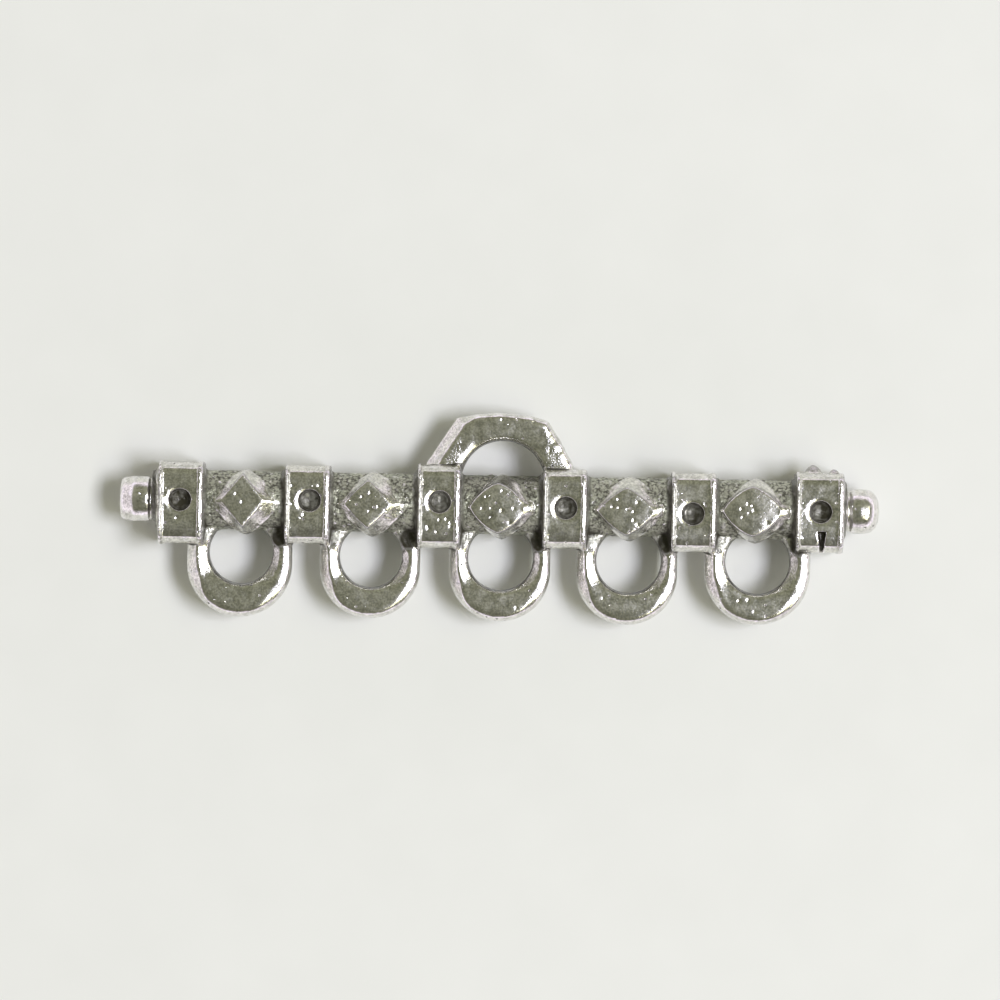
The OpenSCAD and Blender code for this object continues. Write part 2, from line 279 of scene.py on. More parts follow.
for k, cuff in enumerate(CUFFS):
    add_form(f"cuff {k + 1}", cuff_rings(cuff, cuff_x[k]))

# %% [markdown]
# ## The studs
# A stud is a flat lozenge crown on a wider lozenge wrapped round the bar, so four facets fall
# away from it: gentle ones to the left and right, steep ones above and below. Rings of that
# lozenge, from its crown down into the bar, keep the four ridges in line.

# %% Studs
# points in a ring, how far the facets are hollowed, and the base's skin over the bar
STUD_POINTS = 128
FACET_SINK = 0.05
STUD_STEP = 0.02
# shares of the way up at which the rings of the facets and of the crown lie
FACET_STEPS = (0, 0.2, 0.4, 0.6, 0.8, 1)
CROWN_STEPS = (0.8, 0.5, 0.15)
# the ring inside the bar is the base's, drawn in by these shares of X, Y and Z
STUD_ROOT = np.array([1, 0.85, 0.75])


def lozenge(count, bow):
    """Points with |a| + |b| = 1, whose sides bow out by the given share."""
    t = np.linspace(0, 4, count, endpoint=False)
    a = np.where(t < 2, 1 - t, t - 3)
    b = np.where(t < 1, t, np.where(t < 3, 2 - t, t - 4))
    return a * (1 + 4 * bow * np.abs(a * b)), b * (1 + 4 * bow * np.abs(a * b))


def stud_rings(stud, middle):
    """Rings from deep in the bar to the crown: the wrapped base, the facets, then the crown.
    Facets sink by up to 0.05 sin(pi s) off the ridges, s being their share of the way up, and
    the crown rises by dome * (1 - s^2), s being the share of the way to its rim."""
    a, b = lozenge(STUD_POINTS, 0)
    c, d = lozenge(STUD_POINTS, stud.bow)
    base = np.stack([
        middle + stud.base_x * a,
        STUD_MIDDLE + STUD_BASE_Y * np.sin(STUD_WRAP * b) / np.sin(STUD_WRAP),
        (BAR_R + STUD_STEP) * np.cos(STUD_WRAP * b),
    ], -1)
    centre = np.array([middle + stud.crown_x, stud.crown_y, CROWN_Z - stud.dome])
    crown = centre + np.stack([stud.half_x * c, stud.half_y * d, np.zeros(STUD_POINTS)], -1)
    inside = base * STUD_ROOT + [0, STUD_MIDDLE * (1 - STUD_ROOT[1]), 0]
    sink = FACET_SINK * np.minimum(1, 10 * np.abs(a * b))[:, None] * [0, 0, 1]
    facet = [base * (1 - s) + crown * s - np.sin(np.pi * s) * sink for s in FACET_STEPS]
    tops = [crown * s + centre * (1 - s) + [0, 0, stud.dome * (1 - s * s)] for s in CROWN_STEPS]
    return np.stack([inside, *facet, *tops])


for k, stud in enumerate(STUDS):
    rings = stud_rings(stud, stud_x[k])
    add_form(f"stud {k + 1}", rings)
    add_form(f"stud {k + 1} behind", rings[:, ::-1] * [1, 1, -1])

# %% [markdown]
# ## The strand loops
# Each loop is a horseshoe that hangs from the bar, thin in its legs and broad at its foot. A
# bent tube would have one thickness all round, so the section is laid along rays from the eye's
# middle instead: it runs from the eye's circle to the lower outline, with a crest in the legs
# and a flat land at the foot.

# %% Strand loops
# share of the width from the eye outwards, and half the thickness there
LEFT_LEG = np.array([
    [0.00, 0.20], [0.02, 0.38], [0.06, 0.50], [0.11, 0.555], [0.25, 0.60], [0.38, 0.645],
    [0.49, 0.68], [0.54, 0.68], [0.59, 0.65], [0.72, 0.50], [0.90, 0.29], [1.00, 0.12],
])
RIGHT_LEG = np.array([
    [0.00, 0.20], [0.015, 0.33], [0.03, 0.37], [0.16, 0.47], [0.30, 0.575], [0.38, 0.64],
    [0.44, 0.67], [0.50, 0.68], [0.60, 0.675], [0.86, 0.605], [0.92, 0.50], [1.00, 0.12],
])
FOOT = np.array([
    [0.00, 0.20], [0.015, 0.36], [0.04, 0.50], [0.07, 0.60], [0.12, 0.655], [0.20, 0.675],
    [0.70, 0.68], [0.79, 0.665], [0.87, 0.60], [0.94, 0.46], [0.98, 0.33], [1.00, 0.12],
])
# the rays' first and last direction in degrees, and their number
RAY_TURN = (131, 409)
RAYS = 150


def section_of(knots, count=40):
    """Closed half section from the eye outwards, evenly resampled, mirrored to the back."""
    step = np.linspace(0, len(knots) - 1, count)
    half = np.stack([np.interp(step, np.arange(len(knots)), column) for column in knots.T], -1)
    return np.vstack([half, half[::-1] * [1, -1]])


def loop_rings(loop):
    """Rays turn from one leg to the other. A ring's points are inner + (outer - inner) * share,
    at the section's heights. The outline is a circle low down and upright sides above its
    middle. right is the share of the right leg's section, and flat that of the foot's, which
    the legs also have near the bar."""
    eye = np.array([PITCH * loop.pitches + loop.eye_shift, loop.eye_y])
    out = np.array([PITCH * loop.pitches + loop.out_shift, loop.out_y])
    phi = np.radians(np.linspace(*RAY_TURN, RAYS))
    ray = np.stack([np.cos(phi), np.sin(phi)], -1)
    inner = eye + loop.eye_r * ray
    gap = eye - out
    along = (ray * gap).sum(1)
    to_circle = -along + np.sqrt(along ** 2 - (gap ** 2).sum() + loop.out_r ** 2)
    side = out[0] + np.sign(ray[:, 0]) * loop.out_r - eye[0]
    to_side = side / np.where(np.abs(ray[:, 0]) < 1e-6, 1e-6, ray[:, 0])
    hit_y = eye[1] + ray[:, 1] * to_circle
    reach = np.where(hit_y > out[1], to_side, to_circle)
    outer = eye + reach[:, None] * ray
    right = ease((ray[:, 0] + 0.3) / 0.6)[:, None, None]
    foot = ease((-ray[:, 1, None, None] - 0.50 - 0.10 * right) / 0.38)
    leg = section_of(LEFT_LEG)[None] * (1 - right) + section_of(RIGHT_LEG)[None] * right
    flat = np.maximum(foot, ease((ray[:, 1] - 0.08) / 0.22)[:, None, None])
    section = leg * (1 - flat) + section_of(FOOT)[None] * flat
    plan = inner[:, None] + (outer - inner)[:, None] * section[..., :1]
    return np.concatenate([plan, section[..., 1:]], -1)


for k, loop in enumerate(LOOPS):
    add_form(f"strand loop {k + 1}", loop_rings(loop))

# %% [markdown]
# ## The hanging loop
# A flat arch with a slanted outline, a broad outer bevel and a softer inner one. Its section is
# also laid along rays, from the round eye to the slanted outline.

# %% Hanging loop
# the eye's middle and radius, and the corners of the slanted outline from the right round
ARCH = np.array([0.15, 1.10])
ARCH_R = 2.10
HANGER = np.array([
    [3.67, 0.60], [3.67, 2.05], [2.35, 4.24], [1.44, 4.48], [-0.06, 4.60], [-1.16, 4.53],
    [-2.20, 4.31], [-3.68, 2.05], [-3.68, 0.60],
])
# the arch's section at its left side, its top and its right side, as for the strand loops
ARCH_LEFT = np.array([
    [0.00, 0.28], [0.02, 0.44], [0.04, 0.56], [0.06, 0.60], [0.11, 0.635], [0.17, 0.67],
    [0.22, 0.70], [0.44, 0.705], [0.64, 0.705], [0.70, 0.65], [0.86, 0.36], [1.00, 0.16],
])
ARCH_TOP = np.array([
    [0.00, 0.28], [0.02, 0.44], [0.05, 0.56], [0.09, 0.65], [0.15, 0.70], [0.30, 0.715],
    [0.74, 0.715], [0.83, 0.70], [0.90, 0.64], [0.95, 0.52], [0.985, 0.36], [1.00, 0.16],
])
ARCH_RIGHT = np.array([
    [0.00, 0.28], [0.02, 0.44], [0.05, 0.56], [0.09, 0.65], [0.15, 0.70], [0.30, 0.715],
    [0.60, 0.715], [0.74, 0.70], [0.84, 0.66], [0.92, 0.605], [0.97, 0.42], [1.00, 0.16],
])


def hanger_rings():
    """Rays from the arch's middle: each meets the slanted outline where its angle does."""
    step = np.linspace(0, len(HANGER) - 1, 4000)
    outline = np.stack([np.interp(step, np.arange(len(HANGER)), HANGER[:, k]) for k in (0, 1)], -1)
    seen = np.unwrap(np.arctan2(*(outline - ARCH).T[::-1]))
    phi = np.radians(np.linspace(-4, 184, 170))
    outer = np.stack([np.interp(phi, seen, outline[:, k]) for k in (0, 1)], -1)
    inner = ARCH + ARCH_R * np.stack([np.cos(phi), np.sin(phi)], -1)
    left = ease((phi - 1.95) / 0.35)[:, None, None]
    right = ease((1.00 - phi) / 0.18)[:, None, None]
    section = (section_of(ARCH_LEFT)[None] * left + section_of(ARCH_RIGHT)[None] * right
               + section_of(ARCH_TOP)[None] * (1 - left - right))
    plan = inner[:, None] + (outer - inner)[:, None] * section[..., :1]
    return np.concatenate([plan, section[..., 1:]], -1)


add_form("hanging loop", hanger_rings())

# %% [markdown]
# ## End knobs and sprue nubs
# A knob is round, so it is a profile of radius against length, swept round X. The two nubs on
# the last cuff look like what is left where the metal was poured in. They are low cones on its
# top edge.

# %% Knobs and nubs
# length from the cuff's side, radius in the outline, radius towards the front
LEFT_KNOB = np.array([
    [-0.30, 1.55, 1.55], [0.00, 1.62, 1.62], [0.06, 1.40, 1.40], [0.22, 1.16, 1.12],
    [0.40, 1.03, 0.98], [0.47, 1.05, 1.02], [0.56, 1.12, 1.12], [0.80, 1.14, 1.14],
    [1.25, 1.14, 1.14], [1.33, 1.14, 1.10], [1.80, 1.05, 0.76], [1.93, 0.95, 0.66],
    [1.985, 0.70, 0.50], [2.00, 0.25, 0.20],
])
RIGHT_KNOB = np.array([
    [-0.30, 1.40, 1.40], [0.00, 1.45, 1.45], [0.05, 1.20, 1.20], [0.20, 1.02, 1.02],
    [0.34, 0.99, 0.99], [0.42, 1.06, 1.06], [0.55, 1.11, 1.11], [0.90, 1.12, 1.12],
    [1.28, 1.09, 1.07], [1.50, 0.99, 0.95], [1.68, 0.80, 0.76], [1.80, 0.52, 0.50],
    [1.85, 0.22, 0.22], [1.85, 0.05, 0.05],
])


def turned(profile, root, side, count=70):
    """Rings round X: radius from the profile, place = root + side * length."""
    step = np.linspace(0, len(profile) - 1, count)
    length, wide, deep = (np.interp(step, np.arange(len(profile)), column)
                          for column in profile.T)
    rings = np.empty((count, len(round_angles), 3))
    rings[..., 0] = (root + side * length)[:, None]
    rings[..., 1] = wide[:, None] * np.cos(round_angles)
    rings[..., 2] = deep[:, None] * np.sin(round_angles)
    return rings


# how far a nub's root lies under the cuff's edge, how flat the nub is in Z, and its tip's rings
NUB_ROOT = 0.25
NUB_FLAT = 0.9
NUB_TIP = [0.95, 0.8, 0.45]


def nub(x, foot_y, root_r, tip_r, height):
    """Rings along Y: radius falls evenly from the root to a rounded tip, flattened in Z."""
    s = np.linspace(0, 1, 12)
    radius = root_r + (tip_r - root_r) * s
    radius[-3:] *= NUB_TIP
    t = np.linspace(0, 2 * np.pi, 48, endpoint=False)
    rings = np.empty((len(s), len(t), 3))
    rings[..., 0] = x + radius[:, None] * np.cos(t)
    rings[..., 1] = (foot_y - NUB_ROOT + (height + NUB_ROOT) * s)[:, None]
    rings[..., 2] = -radius[:, None] * np.sin(t) * NUB_FLAT
    return rings


add_form("left knob", turned(LEFT_KNOB, cuff_x[0] - cuff_half[0], -1))
add_form("right knob", turned(RIGHT_KNOB, cuff_x[5] + cuff_half[5], 1))
add_form("sprue nub", nub(cuff_x[5] - 0.31, CUFFS[5].top, 0.66, 0.17, 0.40))
add_form("small nub", nub(cuff_x[5] + 0.74, CUFFS[5].top, 0.34, 0.16, 0.20))

# %% [markdown]
# ## Fusing the forms
# The closed forms are joined into one mesh and remeshed at 0.04 mm, which leaves one skin. A
# few passes of smoothing that alternate inwards and outwards round its corners like cast metal,
# and don't shrink it.

# %% Fuse
# edge of a voxel, and passes of smoothing after the first and the second remesh
VOXEL = 0.04
ROUNDING = 4
EVENING = 2


def joined(parts):
    """One mesh from all forms: their corners counted on from one another."""
    offset = np.cumsum([0] + [len(v) for _, v, _, _ in parts])
    vertices = np.concatenate([v for _, v, _, _ in parts])
    quads = np.concatenate([q + o for (_, _, q, _), o in zip(parts, offset)])
    tris = np.concatenate([t + o for (_, _, _, t), o in zip(parts, offset)])
    return build_mesh("forms", vertices, quads, tris)


def with_modifier(mesh, kind, groups=(), **values):
    """The mesh after one modifier, set by values. groups are rows of vertex group, weight and
    vertices that the modifier may use."""
    holder = bpy.data.objects.new("holder", mesh)
    bpy.context.scene.collection.objects.link(holder)
    for name, weight, vertices in groups:
        group = holder.vertex_groups.get(name) or holder.vertex_groups.new(name=name)
        group.add(vertices.tolist(), weight, "REPLACE")
    modifier = holder.modifiers.new("step", kind)
    for key, value in values.items():
        setattr(modifier, key, value)
    graph = bpy.context.evaluated_depsgraph_get()
    result = bpy.data.meshes.new_from_object(holder.evaluated_get(graph))
    bpy.data.objects.remove(holder)
    bpy.data.meshes.remove(mesh)
    return result


def remeshed(mesh):
    """One closed skin of even quads round everything that the mesh holds."""
    return with_modifier(mesh, "REMESH", mode="VOXEL", voxel_size=VOXEL, adaptivity=0.0)


def points_of(mesh):
    """The mesh's vertices as an array."""
    co = np.empty(len(mesh.vertices) * 3, np.float32)
    mesh.vertices.foreach_get("co", co)
    return co.reshape(-1, 3).astype(float)


def normals_of(mesh):
    """The mesh's vertex normals as an array."""
    n = np.empty(len(mesh.vertices) * 3, np.float32)
    mesh.vertex_normals.foreach_get("vector", n)
    return n.reshape(-1, 3).astype(float)


def set_points(mesh, points):
    """Puts an array back as the mesh's vertices."""
    mesh.vertices.foreach_set("co", points.astype(np.float32).ravel())
    mesh.update()


def neighbour_mean(points, ends, count):
    """Mean of each vertex's neighbours, from the sums over all edges."""
    a, b = ends.T
    both, other = np.concatenate([a, b]), np.concatenate([b, a])
    return np.stack([
        np.bincount(both, points[other, k], len(points)) for k in range(points.shape[1])
    ], -1) / count[:, None]


def edges_of(mesh):
    """Ends of all edges, and how many edges meet at each vertex."""
    ends = np.empty(len(mesh.edges) * 2, np.int32)
    mesh.edges.foreach_get("vertices", ends)
    return ends.reshape(-1, 2), np.maximum(np.bincount(ends, minlength=len(mesh.vertices)), 1)


def smoothed(points, ends, count, passes):
    """Passes of 0.5 towards the neighbours' mean, then 0.52 away from it."""
    for _ in range(passes):
        for weight in (0.5, -0.52):
            points = points + weight * (neighbour_mean(points, ends, count) - points)
    return points


casting = remeshed(joined(forms))
ends, count = edges_of(casting)
set_points(casting, smoothed(points_of(casting), ends, count, ROUNDING))
print("Fused skin:", len(casting.vertices), "vertices")

# %% [markdown]
# ## Dimples, gouge and ridges
# The dimples are blind: a shallow countersink and a dark bowl. They are pressed into the fused
# skin, front and back, by a depth that depends only on the distance from their middle, and so
# is the tapered gouge in the last cuff. Cutting with a boolean would leave long thin faces. The
# rounded ridge at each crown's right corner, which mirrors the lamp, is raised in the same way.
# The skin is then remeshed, which evens out the walls, and the dimples are pressed once more.

# %% Press the dimples and raise the ridges
# radius from a dimple's middle, height above the axis; the last row leaves the skin alone
DIMPLE = np.array([[0.0, 1.22], [0.14, 1.235], [0.30, 1.285], [0.44, 1.38], [0.51, 1.52],
                   [0.54, 1.61], [0.565, 1.643], [0.74, 1.693], [0.78, 1.702], [0.80, 9.0]])
# how far from its middle a dimple is felt
DIMPLE_REACH = 0.86
# the gouge's middle in X, top in Y, length, half width at its top, what that loses in the first
# millimetre, and depth
GOUGE_X = cuff_x[5] + 0.10
GOUGE_TOP = -1.02
GOUGE_LONG = 1.08
GOUGE_HALF = 0.22
GOUGE_TAPER = 0.14
GOUGE_DEEP = 0.42
# width over which the gouge's walls fall
GOUGE_WALL = 0.05
# the ridges: start before the crown's corner, slope in degrees, curve across, fall past the end
RIDGE_START = 0.10
RIDGE_SLOPE = 16
RIDGE_CURVE = 1.25
RIDGE_FALL = 0.8
# the least height at which skin counts as a cuff's front or back
FRONT_Z = 0.8


def from_dimple(points, k, aside=0.0):
    """Distance in the plan from a dimple's middle, or from a place that lies aside of it."""
    cuff = CUFFS[k]
    return np.hypot(points[:, 0] - cuff_x[k] - cuff.dimple_x - aside,
                    points[:, 1] - cuff.dimple_y)


def press(points, side, gouge=True):
    """Lowers the skin on one side to the dimples' profile and to the gouge's floor."""
    out = points.copy()
    height = out[:, 2] * side
    for k in range(len(CUFFS)):
        d = from_dimple(out, k)
        height = np.where((height > FRONT_Z) & (d < DIMPLE_REACH),
                          np.minimum(height, np.interp(d, DIMPLE[:, 0], DIMPLE[:, 1])), height)
    if side > 0 and gouge:
        along = GOUGE_TOP - out[:, 1]
        half = GOUGE_HALF - GOUGE_TAPER * np.clip(along, 0, 1)
        inside = np.minimum((half - np.abs(out[:, 0] - GOUGE_X)) / GOUGE_WALL,
                            np.minimum(along, GOUGE_LONG - along) / GOUGE_WALL)
        height = np.where(height > FRONT_Z, height - GOUGE_DEEP * ease(inside), height)
    out[:, 2] = height * side
    return out


def ridged(points):
    """Raises a rounded ridge from the right corner of each crown to its base's corner: a line
    down at 16 degrees, with a drop of 1.25 y^2 beside it."""
    out = points.copy()
    slope = np.tan(np.radians(RIDGE_SLOPE))
    for stud, middle in zip(STUDS, stud_x):
        away = points[:, 0] - middle - stud.crown_x - stud.half_x + RIDGE_START
        end = stud.base_x - stud.crown_x - stud.half_x
        line = stud.crown_y + (STUD_MIDDLE - stud.crown_y) * np.clip(away / end, 0, 1)
        aside = points[:, 1] - line
        top = CROWN_Z - 0.01 - slope * np.maximum(away, 0) - RIDGE_CURVE * aside ** 2
        top -= RIDGE_FALL * np.maximum(away - end + RIDGE_START, 0)
        near = (away > 0) & (away < end + 0.25) & (np.abs(aside) < 0.34)
        near &= np.abs(points[:, 2]) > 1.2
        out[near, 2] = np.sign(out[near, 2]) * np.maximum(np.abs(out[near, 2]), top[near])
    return out


points = ridged(points_of(casting))
points = np.where(points[:, 2:] > 0, press(points, 1), press(points, -1))
set_points(casting, points)
casting = remeshed(casting)
ends, count = edges_of(casting)
points = smoothed(points_of(casting), ends, count, EVENING)
points = np.where(points[:, 2:] > 0, press(points, 1, False), press(points, -1, False))
set_points(casting, points)
print("After the dimples:", len(casting.vertices), "vertices")

# %% [markdown]
# ## Cast skin
# The mould was rough: bare metal between the cuffs is stippled and beaded, every face has small
# pits, and no edge runs quite true. Bump alone would give a smooth outline and no true glints,
# so these are moves of the vertices along their normals by noise, beads and single round pits.

# %% Stipple, pits and wander
# places of the larger single pits, X and Y in mm; below them, their radii, and their depth as a
# share of the radius
PITS = np.array([
    # on the cuffs and the left knob
    [-16.01, -0.94], [-16.68, 0.24], [-17.88, 0.22], [-17.55, 0.05], [-17.52, -0.1],
    [-10.29, 0.76], [-8.99, 0.79], [-10.32, -0.14], [-9.86, -0.83], [-9.71, -0.68],
    [10.22, 0.24], [10.48, -0.21], [8.79, -0.94],
    # on the first and the second stud and the bar beside them
    [-13.08, 0.31], [-12.78, -0.08], [-12.05, -1.27], [-11.87, -0.32],
    [-6.43, 0.48], [-6.83, 0.27], [-6.47, -0.42], [-6.02, -0.21], [-5.67, -0.40],
    [-5.66, -0.65], [-5.51, -0.70], [-5.55, -1.25], [-8.09, 0.50], [-7.73, -0.04],
    [-8.11, -0.90], [-7.81, -0.99], [-8.15, -1.20], [-4.57, -0.48], [-4.91, -1.09],
    # on the fourth stud and the bar beside it
    [5.63, 0.00], [5.92, 0.36], [5.93, -0.04], [6.38, -0.13], [6.87, 0.23], [6.68, -0.23],
    [6.69, -0.63], [6.89, -0.87], [7.64, -0.91], [4.64, -0.82], [5.04, -0.81], [4.95, -1.21],
    # on the third cuff
    [-3.79, 0.88], [-2.96, -0.80], [-2.61, -0.75], [-2.41, -0.94], [-3.56, -1.12],
    [-3.50, -1.26], [-3.10, -1.41], [-2.40, -1.14],
    # on the third and the fifth stud
    [-0.67, 0.38], [-0.84, -0.19], [-0.40, -0.18], [0.13, -0.28], [0.73, -0.16], [0.13, 0.69],
    [-0.40, -0.61], [0.51, -0.87],
    [12.04, 0.00], [12.36, 0.27], [12.58, 0.17], [12.66, -0.06], [12.42, -0.19], [12.12, -0.40],
    [13.33, -0.63],
    # on the hanging loop and the strand loops
    [0.05, 4.24], [1.64, 4.17], [2.45, 2.70], [5.25, -4.57], [12.04, -4.58], [12.80, -5.10],
    [12.50, -4.53], [0.94, -5.11],
])
PIT_SIZES = (0.05, 0.08)
PIT_DEPTH = 0.65
# number, radii and heights of the beads of metal on the bar
BEADS = 320
BEAD_RADII = (0.075, 0.12)
BEAD_HEIGHTS = (0.04, 0.075)
# rows of height, size and seed, in mm
WANDER = ((0.008, 0.9, 3), (0.004, 0.36, 5))
GRAIN = ((0.003, 0.17, 7),)
STIPPLE = ((0.016, 0.19, 11), (0.030, 0.40, 13))
SHOULDER_LUMPS = ((0.065, 0.27, 17),)
BOWL_LUMPS = ((0.028, 0.16, 23),)
# middle of the lumpy shoulder of the hanging loop, how much longer it is than wide, and the
# distance over which its lumps fade
SHOULDER = (2.95, 3.1)
SHOULDER_LONG = 1.3
SHOULDER_FADE = 0.55


def layered(points, layers):
    """Sum of height * noise over rows of height, size and seed."""
    return sum(height * lattice_noise(points, size, seed) for height, size, seed in layers)


def bare_bar(points):
    """Share of bare bar: 1 where the skin is at the bar's radius and outside all cuffs."""
    rho = np.hypot(points[:, 1], points[:, 2])
    apart = np.abs(points[:, :1] - cuff_x[None]) - cuff_half[None]
    return ease((1.60 - rho) / 0.08) * ease((rho - 1.36) / 0.06) * ease(apart.min(1) / 0.10)


def beads(points):
    """Height of small round beads of metal strewn over the bar: each adds its own height times
    e^(-d^2 / r^2), d being the distance from its middle and r its radius."""
    rng = np.random.default_rng(9)
    x = rng.uniform(cuff_x[0], cuff_x[5], BEADS)
    angle = rng.uniform(0, 2 * np.pi, BEADS)
    middle = np.stack([x, BAR_R * np.cos(angle), BAR_R * np.sin(angle)], -1)
    radius = rng.uniform(*BEAD_RADII, BEADS)
    height = rng.uniform(*BEAD_HEIGHTS, BEADS)
    reach = 0.25
    order = np.argsort(points[:, 0])
    first = np.searchsorted(points[order, 0], x - reach)
    last = np.searchsorted(points[order, 0], x + reach)
    total = np.zeros(len(points))
    for k in range(BEADS):
        near = order[first[k]:last[k]]
        d2 = ((points[near] - middle[k]) ** 2).sum(1)
        total[near] += height[k] * np.exp(-d2 / radius[k] ** 2)
    return total


def bowls(points):
    """1 on the floors of the dimples, less in the first one, and 0 from their walls outwards."""
    shares = [ease((0.48 - from_dimple(points, k)) / 0.10) * cuff.bowl
              for k, cuff in enumerate(CUFFS)]
    return np.maximum.reduce(shares)


def pits(points, up):
    """Depth of the single pits where up is true: 0.65 r e^(-d^2 / r^2) for each radius r."""
    sizes = np.random.default_rng(5).uniform(*PIT_SIZES, len(PITS))
    total = np.zeros(len(points))
    for (x, y), size in zip(PITS, sizes):
        near = up & (np.abs(points[:, 0] - x) < 0.4) & (np.abs(points[:, 1] - y) < 0.4)
        d2 = (points[near, 0] - x) ** 2 + (points[near, 1] - y) ** 2
        total[near] += PIT_DEPTH * size * np.exp(-d2 / size ** 2)
    return total


def grainy(points, normals):
    """Moves along the normal: broad wander + fine grain + lumps at the hanging loop's right
    shoulder and on the dimples' floors + stipple and beads on the bare bar - pits."""
    away = np.hypot(points[:, 0] - SHOULDER[0], (points[:, 1] - SHOULDER[1]) / SHOULDER_LONG)
    lumps = layered(points, SHOULDER_LUMPS) * ease(1.5 - away / SHOULDER_FADE)
    lumps += layered(points, BOWL_LUMPS) * bowls(points) * (np.abs(points[:, 2]) > 1)
    move = layered(points, WANDER) + layered(points, GRAIN) + lumps
    move += (layered(points, STIPPLE) + beads(points)) * bare_bar(points)
    return points + (move - pits(points, normals[:, 2] > 0.3))[:, None] * normals


points = points_of(casting)
set_points(casting, grainy(points, normals_of(casting)))
print("Bare bar share:", round(float(bare_bar(points).mean()), 3))

# %% [markdown]
# ## Thinning and placing
# The skin now has over half a million points, also where the metal is smooth. Coarser voxels
# would lose the pits, so edges are collapsed instead, first where the shape changes least, and
# sooner on the back that nobody sees. Millimetres then become the frame's metres.

# %% Thin the mesh and place it in the frame
# triangles that are left, the depth where the back begins, and how far the front is spared
FACES = 198_000
BACK_Z = -0.4
SPARED = 0.25
before = points_of(casting)
rear = np.nonzero(before[:, 2] <= BACK_Z)[0]
front = np.nonzero(before[:, 2] > BACK_Z)[0]
casting = with_modifier(
    casting, "DECIMATE", groups=[("rear", 1.0, rear), ("rear", 1.0 - SPARED, front)],
    ratio=FACES / (2 * len(casting.polygons)), vertex_group="rear", vertex_group_factor=0.001,
)
points = points_of(casting)
print("Points in front:", round(float((points[:, 2] > BACK_Z).mean()), 2))
metres = (points - ORIGIN) / 1000
set_points(casting, metres)
casting.polygons.foreach_set("use_smooth", np.ones(len(casting.polygons), bool))
piece = bpy.data.objects.new("cast_connector", casting)
bpy.context.scene.collection.objects.link(piece)
print("Casting:", len(casting.polygons), "faces, box", metres.min(0), metres.max(0))

# %% [markdown]
# ## Where the patina and the painted shade lie
# Antique silver is darkened all over and then rubbed, so the dark stays in the hollows and the
# edges are bright. How hollow each point is comes from the mesh: the skin is smoothed, and a
# point that then lies above its own place was in a hollow. A few passes find pits and edges,
# and many find the corners between forms. Dark places that no hollow explains, some of them
# painted shadows and painted shade, and how raw the cast skin was left, are masks worked out
# from the same tables as the forms. A painted image would need its own unwrapping, so all four
# are kept as attributes for the material.

# %% Hollow and edge attributes
FINE_PASSES = 3
BROAD_PASSES = 60
# share of the broad hollow that the dimples' floors lose, so that they don't turn black
BOWL_RUBBED = 0.20


def hollow(points, normals, ends, count, passes):
    """Height in mm of the smoothed skin over each point, along its normal."""
    soft = points
    for _ in range(passes):
        soft = 0.4 * soft + 0.6 * neighbour_mean(soft, ends, count)
    return ((soft - points) * normals).sum(1)


def keep_attribute(name, values):
    """Stores one number for each vertex, for the material to read."""
    attribute = casting.attributes.new(name, "FLOAT", "POINT")
    attribute.data.foreach_set("value", values.astype(np.float32))
    print(name, np.percentile(values, [1, 10, 50, 90, 99]).round(4))


def beside_cuff(points, k):
    """Dark bands on the bar beside a cuff: on the left a painted shadow that the cuff casts, with
    patina in the corner, and on the right a thin dark line. The first cuff's left one lies a
    little further off.
    """
    x, y, z = points.T
    cuff = CUFFS[k]
    left, right = cuff_x[k] - cuff_half[k], cuff_x[k] + cuff_half[k]
    off = 0.13 if k == 0 else 0.0
    # painted shadow that the cuff casts to its left on the bar, with patina in the corner
    before = ease((left + 0.02 - off - x) / 0.05) * ease((x - left + 0.34 + off) / 0.14)
    before *= ease((y - cuff.low) / 0.1) * ease((cuff.top + 0.15 - y) / 0.1)
    # thin dark line in the corner on the cuff's right
    after = ease((x - right + 0.05) / 0.05) * ease((right + 0.26 - x) / 0.10)
    after *= ease((y - cuff.low) / 0.1) * ease((cuff.top + 0.1 - y) / 0.1)
    return np.maximum(0.85 * before * ease((1.66 - np.abs(z)) / 0.1),
                      0.80 * after * ease((1.68 - np.abs(z)) / 0.06))


def on_cuff(points, k):
    """Dark ring of patina on a dimple's wall, painted shade on the right part of its floor, away
    from the lamp, whose edge is sharper in the last cuff, and the cuff's face made darker
    towards the bottom."""
    x, y, z = points.T
    cuff = CUFFS[k]
    wall = np.abs(from_dimple(points, k) - 0.515)
    ring = ease((0.07 - wall) / 0.04) * (np.abs(z) > 1.3)
    fade = 0.06 if k == 5 else 0.25
    # painted shade on the right part of the dimple's floor, which faces away from the lamp
    floor = cuff.dark * ease((0.50 - from_dimple(points, k, 0.12)) / 0.20) * (z > 1.0)
    floor *= ease((x - cuff_x[k] - cuff.dimple_x + 0.05) / fade)
    within = ease((cuff_half[k] - 0.2 - np.abs(x - cuff_x[k])) / 0.1)
    # the cuff's face darker towards the bottom
    low = 0.30 * within * ease((-0.9 - y) / 0.8) * (z > 1.6)
    return np.maximum(np.maximum(ring, floor), low)


def round_crown(points, k):
    """Thin dark line round a stud's crown, which leaves its right and left corners clear."""
    x, y, z = points.T
    stud = STUDS[k]
    u = np.abs(x - stud_x[k] - stud.crown_x) / stud.half_x
    v = np.abs(y - stud.crown_y) / stud.half_y
    rim = np.abs(u + v - 3.2 * stud.bow * u * v - 1.03)
    return 0.50 * ease((0.06 - rim) / 0.04) * (z > 1.4) * ease((0.85 - u) / 0.1)


